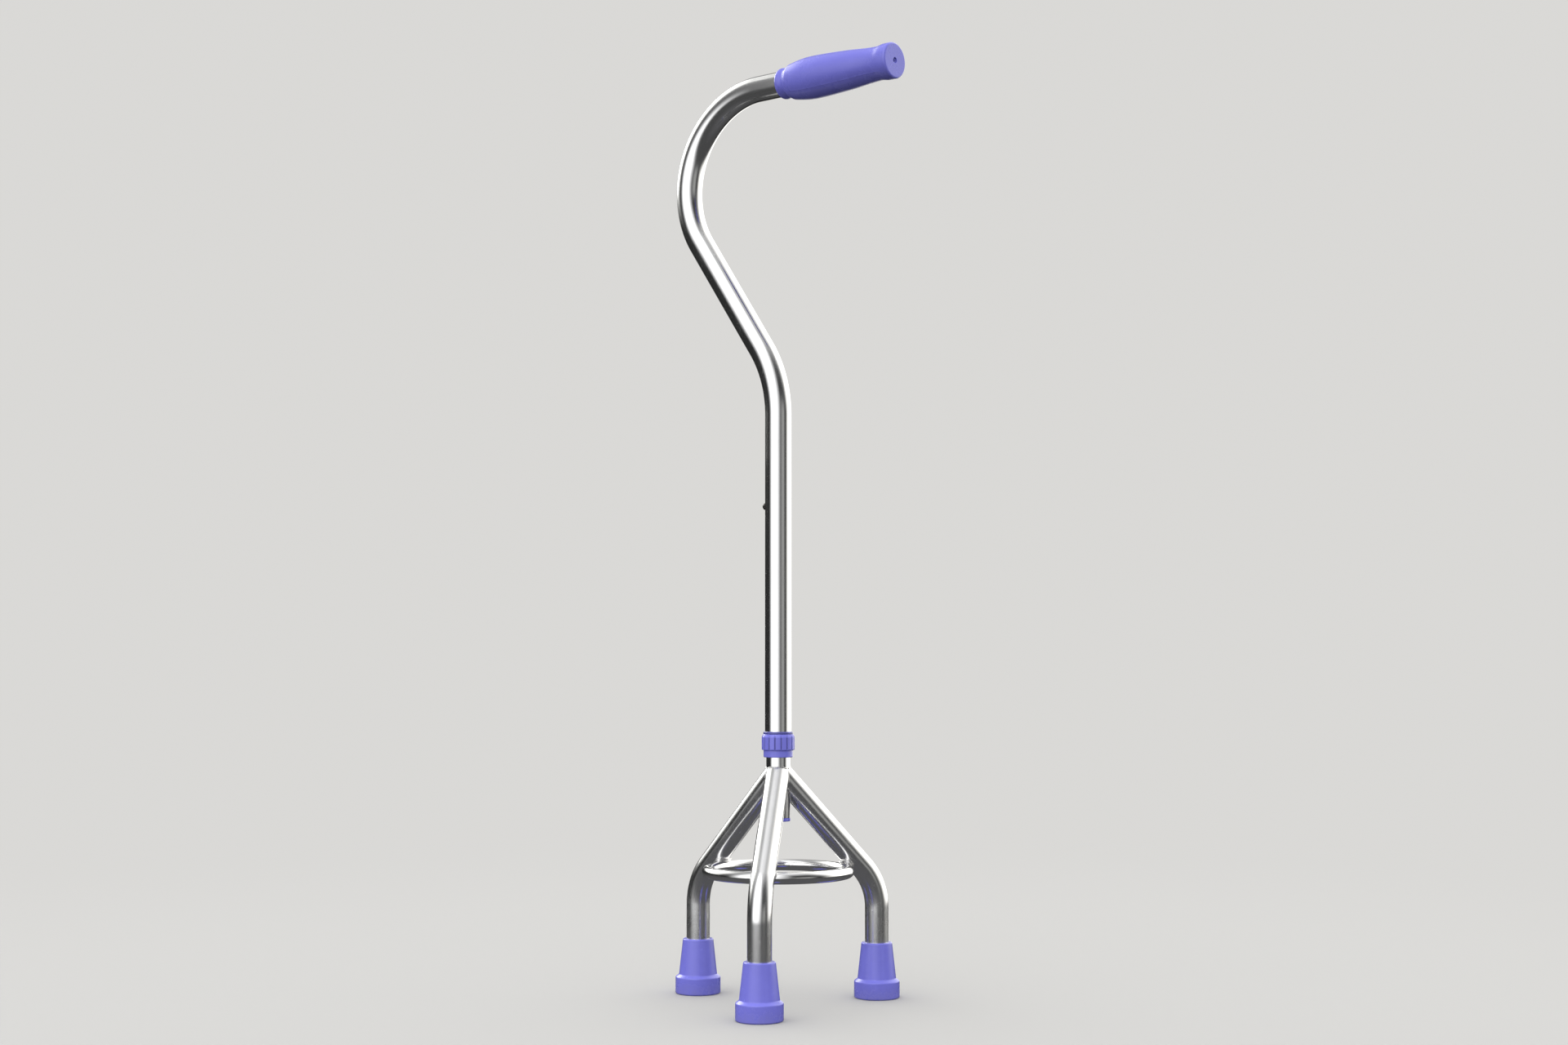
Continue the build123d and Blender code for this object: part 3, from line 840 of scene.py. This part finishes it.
def button():
    reach = button_hi.x - button_lo.x
    shoulder_r = (button_hi.y - button_lo.y) / 2
    path = straight_path((button_hi.x, 0, BUTTON_Z), (0, 0, 1), (0, 1, 0))
    dome = [(reach - BUTTON_R * (1 - sin(a)), BUTTON_R * cos(a)) for a in np.linspace(0, pi / 2, 16)]
    rows = rounded([
        (0, 0, 0), (0, shoulder_r, 0.15 * MM), (BUTTON_SHOULDER, shoulder_r, 0.15 * MM),
        (BUTTON_SHOULDER, BUTTON_R, 0.15 * MM), (reach - BUTTON_R, BUTTON_R, 0),
    ])[:-1] + dome
    points, faces, run = skin(path, rows, columns(48), closed=False)
    piece("snap_button", "domed_button", "dark_steel", points, faces, run)


def spring():
    """V spring behind the button, with its CAD shape."""
    source = frame["nodes"]["button_spring"].data
    points = np.array([v.co for v in source.vertices])
    faces = [list(p.vertices) for p in source.polygons]
    obj = piece("button_spring", "v_spring", "dark_steel", points, faces, points, sharp=30)
    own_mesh(obj)


# ---------------------------------------------------------------- base

def leg_path(bottom):
    corner_z = HUB_Z - LEG_SPREAD_R / tan(radians(LEG_SLANT))
    moves = [(LEG_BEND_START, 0), (LEG_BEND_R, LEG_SLANT), (corner_z - LEG_TANGENT - bottom, 0)]
    return bent_path(0, HUB_Z, 180 - LEG_SLANT, moves)


def cope(radius, angles):
    """Distance at which each line along a leg leaves the post and the neighbouring legs' thirds."""
    lean = radians(180 - LEG_SLANT)
    y = np.abs(radius * np.sin(angles))
    clear_post = np.sqrt(np.maximum(POST_R**2 - np.minimum(y, POST_R) ** 2, 0))
    return (np.maximum(clear_post, y / tan(radians(60))) - radius * np.cos(angles) * cos(lean)) / sin(lean)


def leg(side):
    lo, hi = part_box("leg_" + side)
    leg_r = POST_R
    inner = leg_r - LEG_WALL
    path, length = leg_path(lo.z)
    bend_end = LEG_BEND_START + LEG_BEND_R * radians(LEG_SLANT)
    stations = [LEG_COPE * k / 12 for k in range(13)] + [LEG_COPE + 12 * MM, LEG_COPE + 30 * MM]
    stations += list(np.linspace(LEG_BEND_START - 3 * MM, bend_end + 3 * MM, 44))
    stations += [bend_end + 8 * MM, bend_end + 20 * MM, length - 2 * LIP]
    lip = [(length - LIP + LIP * sin(a), leg_r - LIP * (1 - cos(a))) for a in np.linspace(0, pi / 2, 4)]
    inner_lip = [(s, inner + leg_r - r) for s, r in reversed(lip)]
    rows = [(s, leg_r) for s in stations] + lip + inner_lip + [(s, inner) for s in reversed(stations)]

    def coped(s, r, around):
        return s + max(0.0, 1 - s / LEG_COPE) * cope(r, around)

    points, faces, run = skin(path, rows, columns(ROUND), distance=coped)
    points = about_post(points, LEG_AZIMUTHS[side])
    piece("leg_" + side, f"leg_{side}_tube", "polished_leg", points, faces, run)


def bead(curve, radius, seed):
    """Closed-ended weld bead of overlapping crescents along a list of points."""
    curve = np.array(curve)
    travelled = np.concatenate([[0], np.cumsum(np.linalg.norm(np.diff(curve, axis=0), axis=1))])
    count = max(12, int(travelled[-1] / (0.22 * MM)))
    even = np.linspace(0, travelled[-1], count)
    line = np.stack([np.interp(even, travelled, curve[:, k]) for k in range(3)], 1)
    along = np.gradient(line, axis=0)
    along /= np.linalg.norm(along, axis=1)[:, None]
    across = np.cross(along, [0.0, 0.0, 1.0])
    across /= np.linalg.norm(across, axis=1)[:, None]
    up = np.cross(across, along)
    angles = columns(20)
    wander = np.random.default_rng(seed).normal(0, 1, count)
    wander = np.convolve(wander, np.ones(9) / 9, "same")
    points, run = [], []
    for k, s in enumerate(even):
        taper = min(1.0, sqrt(max(1e-4, min(k, count - 1 - k) / 5)))
        phase = (s / WELD_PITCH + 0.35 * np.abs(np.sin(angles)) + 0.08 * wander[k]) % 1
        r = radius * taper * (1 - 0.16 * phase + 0.05 * wander[k])
        flat = np.stack([r * np.cos(angles), r * np.sin(angles)], 1)
        points.append(line[k] + flat[:, :1] * across[k] + flat[:, 1:] * up[k])
        run.append(np.column_stack([flat, np.full(len(angles), s)]))
    wide = len(angles)
    faces = [
        [k * wide + j, k * wide + (j + 1) % wide, (k + 1) * wide + (j + 1) % wide, (k + 1) * wide + j]
        for k in range(count - 1) for j in range(wide)
    ]
    faces += [list(range(wide)), [(count - 1) * wide + j for j in reversed(range(wide))]]
    return np.concatenate(points), faces, np.concatenate(run)


def join_parts(parts):
    """Several (points, faces, run) parts as one."""
    points, faces, run, base = [], [], [], 0
    for p, f, r in parts:
        points.append(p)
        run.append(r)
        faces += [[i + base for i in face] for face in f]
        base += len(p)
    return np.concatenate(points), faces, np.concatenate(run)


def hub_weld(side, seed):
    """Beads where a leg's cope meets the post, above and below, and where it meets the next leg."""
    path, _ = leg_path(0)

    def seam(start, end):
        angles = np.radians(np.linspace(start, end, 60))
        here, across, upright = path(cope(POST_R, angles))
        return here + POST_R * (np.cos(angles)[:, None] * across + np.sin(angles)[:, None] * upright)

    beads = ((122, 238, 0.62 * MM), (58, -58, 1.0 * MM), (62, 118, 0.5 * MM))
    parts = [bead(seam(start, end), radius, seed + k) for k, (start, end, radius) in enumerate(beads)]
    points, faces, run = join_parts(parts)
    points = about_post(points, LEG_AZIMUTHS[side])
    piece("hub_weld_" + side, f"hub_bead_{side}", "weld_metal", points, faces, run, sharp=70)


def ring_weld(side, seed):
    """Bead round the contact of ring and leg: the CAD bead, made even, softened and rippled."""
    name = "ring_weld_" + side
    source = frame["nodes"][name].data.copy()
    source.materials.clear()
    obj = bpy.data.objects.new(f"ring_bead_{side}", source)
    bpy.context.scene.collection.objects.link(obj)
    remesh = obj.modifiers.new("even", "REMESH")
    remesh.mode = "VOXEL"
    remesh.voxel_size = 0.16 * MM
    smooth = obj.modifiers.new("soften", "SMOOTH")
    smooth.iterations = 8
    smooth.factor = 0.5
    graph = bpy.context.evaluated_depsgraph_get()
    made = bpy.data.meshes.new_from_object(obj.evaluated_get(graph))
    obj.modifiers.clear()
    bpy.data.objects.remove(obj)
    co = np.zeros(len(made.vertices) * 3)
    normal = np.zeros(len(made.vertices) * 3)
    made.vertices.foreach_get("co", co)
    made.vertices.foreach_get("normal", normal)
    co, normal = co.reshape(-1, 3), normal.reshape(-1, 3)
    centre = (co.min(0) + co.max(0)) / 2
    a = radians(LEG_AZIMUTHS[side])
    along = (co - centre) @ np.array([-sin(a), cos(a), 0.0])
    phase = (along / WELD_PITCH + seed * 0.37) % 1
    co = co + normal * (WELD_RIPPLE * (1 - phase))[:, None]
    faces = [list(p.vertices) for p in made.polygons]
    bpy.data.meshes.remove(made)
    piece(name, f"ring_bead_{side}", "weld_metal", co, faces, co - centre, sharp=75)


def brace_ring():
    lo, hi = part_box("brace_ring")
    rod_r = (hi.z - lo.z) / 2
    radius = (hi.y - lo.y) / 2 - rod_r
    path = ring_path(radius, (hi.z + lo.z) / 2)
    rows = [(TURN * radius * k / 180, rod_r) for k in range(180)]
    points, faces, run = skin(path, rows, columns(40))
    piece("brace_ring", "brace_ring_rod", "polished_rod", about_post(points), faces, run)


def sole_groove(radius, level, depth):
    """Corners of a ring groove in the sole, which lies at a level there."""
    soft = 0.12 * MM
    return [
        (level, radius - 0.8 * MM, soft), (level + depth, radius - 0.5 * MM, soft),
        (level + depth, radius + 0.5 * MM, soft), (level, radius + 0.8 * MM, soft),
    ]


def foot(side):
    lo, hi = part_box("foot_" + side)
    base_r = (hi.y - lo.y) / 2
    height = hi.z - lo.z
    bore = POST_R + RUNNING
    rows = rounded([
        (SOLE_RECESS, 0, 0),
        *sole_groove(5.0 * MM, SOLE_RECESS, 0.6 * MM), *sole_groove(8.2 * MM, SOLE_RECESS, 0.6 * MM),
        (SOLE_RECESS, SOLE_LAND_R - 0.1 * MM, 0.2 * MM), (0, SOLE_LAND_R + 0.3 * MM, 0.2 * MM),
        *sole_groove(15.25 * MM, 0, 1.2 * MM),
        (0, base_r, FOOT_EDGE), (FOOT_BASE_HEIGHT, base_r, 1.3 * MM),
        (FOOT_BASE_HEIGHT + FOOT_SHOULDER, FOOT_CONE_BOTTOM_R, 1.2 * MM),
        (height, FOOT_CONE_TOP_R, 1.2 * MM), (height, bore, 0.4 * MM),
        (FOOT_FLOOR, bore, 0), (FOOT_FLOOR, 0, 0),
    ])
    facing = radians(LEG_AZIMUTHS[side])
    seams = ((facing + pi / 2) % TURN, (facing - pi / 2) % TURN)

    def with_flash(s, r, around):
        if r < FOOT_CONE_TOP_R - 0.5 * MM or s < 1.6 * MM:
            return np.full(len(around), float(r))
        return r + ridge(around, seams, 0.02, FOOT_SEAM_HEIGHT)

    path = straight_path(((lo.x + hi.x) / 2, (lo.y + hi.y) / 2, lo.z), (1, 0, 0), (0, 1, 0))
    points, faces, run = skin(path, rows, columns(ROUND, seams, 0.04), closed=False, radius=with_flash)
    piece("foot_" + side, f"rubber_foot_{side}", "foot_rubber", points, faces, run)


def inner_pieces():
    """Pieces that show little or nothing, which keep their CAD mesh and get their finish."""
    kept = {"clamp_ring": "clamp_plastic", "post_top_cap": "clamp_plastic"}
    kept.update({"foot_washer_" + side: "washer_steel" for side in LEG_AZIMUTHS})
    for node, slot in kept.items():
        obj = frame["nodes"][node]
        obj.data.materials.clear()
        obj.data.materials.append(finishes[slot])
        obj.data.set_sharp_from_angle(angle=radians(30))


# ---------------------------------------------------------------- studio

PALE_COLOUR = (0.700, 0.693, 0.676, 1.0)
FLOOR_COLOUR = (0.424, 0.420, 0.410, 1.0)
FLOOR_IN_GLOSS = (0.098, 0.098, 0.102, 1.0)

# Light on matt surfaces: its level from below and from above the horizon, and how much stronger it is from
# the side that DOME_LEAN points to
DOME = (0.20, 1.65)
DOME_LEAN = (-0.09, -0.23, 0.0)

# What glossy surfaces mirror: brightness by elevation in degrees, away from the panels
SKY = (
    (-90, 0.070), (-15, 0.075), (-7, 0.026), (7, 0.030), (15, 0.10), (35, 0.27), (55, 0.38), (66, 0.55),
    (77, 0.95), (90, 1.0),
)
# Soft panels: four azimuths and four elevations, from none to full and from full to none, and a colour.
# Azimuth is measured from the direction towards the camera, to the camera's right.
PANELS = (
    ((-85, -46, -26, 28), (-26, -6, 60, 78), (1.80, 1.80, 1.80)),
    ((65, 107, 168, 188), (-24, -4, 44, 74), (1.80, 1.77, 1.68)),
    ((-166, -146, -117, -93), (4, 20, 42, 60), (1.20, 1.20, 1.14)),
    ((-164, -154, -132, -112), (10, 18, 34, 44), (4.60, 4.60, 4.45)),
    ((14, 38, 46, 66), (-22, -8, 6, 22), (0.32, 0.32, 0.31)),
)
# Dark cloths, placed in the same way, with the share of light that they take
CLOTHS = (
    ((14, 30, 50, 72), (12, 26, 40, 58), 0.70),
    ((120, 146, 196, 208), (-52, -42, -22, -9), 0.93),
)


def panel(t, azimuth, elevation, azimuths, elevations):
    """Share from 0 to 1 of a soft-edged panel in a direction."""
    middle = (azimuths[0] + azimuths[3]) / 2
    gap = t.math("WRAP", t.math("SUBTRACT", azimuth, middle), 180.0, -180.0)
    shares = []
    sides = ((gap, [a - middle for a in azimuths]), (elevation, elevations))
    for value, (low, low_full, high_full, high) in sides:
        rise = t.remap(value, low, low_full, 0.0, 1.0)
        fall = t.remap(value, high_full, high, 1.0, 0.0)
        shares.append(t.math("MULTIPLY", rise, fall))
    return t.math("MULTIPLY", *shares)


def studio():
    """Plain pale surroundings to the camera, and a studio of soft panels to everything that reflects it."""
    world = bpy.data.worlds.new("studio")
    world.cycles.sampling_method = "NONE"
    bpy.context.scene.world = world
    t = Tree(world)
    towards = t.node("TexCoord").outputs["Generated"]
    direction = t.node("SeparateXYZ", {0: towards})
    x, y, z = (direction.outputs[k] for k in "XYZ")
    azimuth = t.math("DEGREES", t.math("ARCTAN2", y, x))
    azimuth = t.math("WRAP", t.math("ADD", azimuth, 90.0 - CAMERA_AZIMUTH), 180.0, -180.0)
    elevation = t.math("DEGREES", t.math("ARCSINE", z))
    up = t.remap(elevation, -90.0, 90.0, 0.0, 1.0, smooth=False)
    light = t.ramp(up, [((e + 90) / 180, level) for e, level in SKY])
    for azimuths, elevations, colour in PANELS:
        share = panel(t, azimuth, elevation, azimuths, elevations)
        glow = t.node("VectorMath", {0: colour, 3: share}, operation="SCALE").outputs[0]
        light = t.node("VectorMath", {0: light, 1: glow}, operation="ADD").outputs[0]
    for azimuths, elevations, taken in CLOTHS:
        share = panel(t, azimuth, elevation, azimuths, elevations)
        left = t.math("MULTIPLY_ADD", share, -taken, 1.0)
        light = t.node("VectorMath", {0: light, 3: left}, operation="SCALE").outputs[0]
    ray = t.node("LightPath")
    mirrored = t.node("Background", {"Color": light})
    lean = t.node("VectorMath", {0: towards, 1: DOME_LEAN}, operation="DOT_PRODUCT").outputs["Value"]
    even = t.remap(elevation, -6.0, 8.0, *DOME)
    dome = t.node("Background", {"Color": t.math("MULTIPLY", even, t.math("ADD", lean, 1.0))})
    plain = t.node("Background", {"Color": PALE_COLOUR})
    lit = t.choose(ray.outputs["Is Diffuse Ray"], mirrored, dome)
    t.node("OutputWorld", {"Surface": t.choose(ray.outputs["Is Camera Ray"], lit, plain).outputs[0]})


def disc(name, material, radii, height=0.0):
    """Flat round sheet about the origin, as part of the stage."""
    around = np.linspace(0, TURN, 128, endpoint=False)
    count = len(around)
    points = [(0.0, 0.0, height)] + [(r * cos(a), r * sin(a), height) for r in radii for a in around]
    faces = [(0, 1 + i, 1 + (i + 1) % count) for i in range(count)]
    for k in range(len(radii) - 1):
        inner, outer = 1 + k * count, 1 + (k + 1) * count
        after = [(i + 1) % count for i in range(count)]
        faces += [(inner + i, outer + i, outer + after[i], inner + after[i]) for i in range(count)]
    mesh = bpy.data.meshes.new(name)
    mesh.from_pydata(points, [], faces)
    mesh.materials.append(material)
    obj = bpy.data.objects.new(name, mesh)
    bpy.context.scene.collection.objects.link(obj)
    return obj


def floor():
    """Large pale disc that takes soft shadows and fades into the surroundings with distance."""
    material = bpy.data.materials.new("studio_floor")
    t = Tree(material)
    matt = t.node("BsdfPrincipled", {
        "Base Color": FLOOR_COLOUR, "Roughness": 0.9, "Specular IOR Level": 0.2,
    })
    plain = t.node("Emission", {"Color": PALE_COLOUR})
    mixed = t.choose(t.remap(t.away_from_middle(), 0.45, 1.6, 0.0, 1.0), matt, plain)
    t.node("OutputMaterial", {"Surface": mixed.outputs[0]})
    material.cycles.emission_sampling = "NONE"
    obj = disc("studio_floor", material, (0.4, 1.0, 2.0, 4.0, 12.0))
    obj.visible_glossy = False
    obj.visible_diffuse = False


def floor_in_gloss():
    """What glossy surfaces mirror of the floor: a dim sheet, lighter below the cane, ending a way off."""
    material = bpy.data.materials.new("studio_floor_in_gloss")
    t = Tree(material)
    away = t.away_from_middle()
    level = t.mix(t.remap(away, 0.15, 0.7, 0.0, 1.0), FLOOR_IN_GLOSS, grey(0.070))
    seen = t.node("Emission", {"Color": level})
    mixed = t.choose(t.remap(away, 0.9, 1.5, 0.0, 1.0), seen, t.node("BsdfTransparent"))
    t.node("OutputMaterial", {"Surface": mixed.outputs[0]})
    material.cycles.emission_sampling = "NONE"
    obj = disc("studio_floor_in_gloss", material, (0.5, 1.0, 1.6), -0.001)
    obj.visible_camera = False
    obj.visible_diffuse = False
    obj.visible_shadow = False


def camera():
    data = bpy.data.cameras.new("camera")
    data.lens = 50.0
    data.sensor_width = 36.0
    obj = bpy.data.objects.new("camera", data)
    obj.location = (CAMERA_PLACE[0] + POST_X, CAMERA_PLACE[1], CAMERA_PLACE[2])
    obj.rotation_euler = (radians(90 + CAMERA_TILT), 0, radians(CAMERA_AZIMUTH))
    bpy.context.scene.collection.objects.link(obj)
    bpy.context.scene.camera = obj
    bpy.context.scene.view_settings.view_transform = "Standard"


neck_tube()
post()
grip()
collar()
sleeve()
end_plug()
button()
spring()
brace_ring()
for seed, side in enumerate(LEG_AZIMUTHS):
    leg(side)
    hub_weld(side, 10 * seed + 1)
    ring_weld(side, seed + 1)
    foot(side)
inner_pieces()
studio()
floor()
floor_in_gloss()
camera()
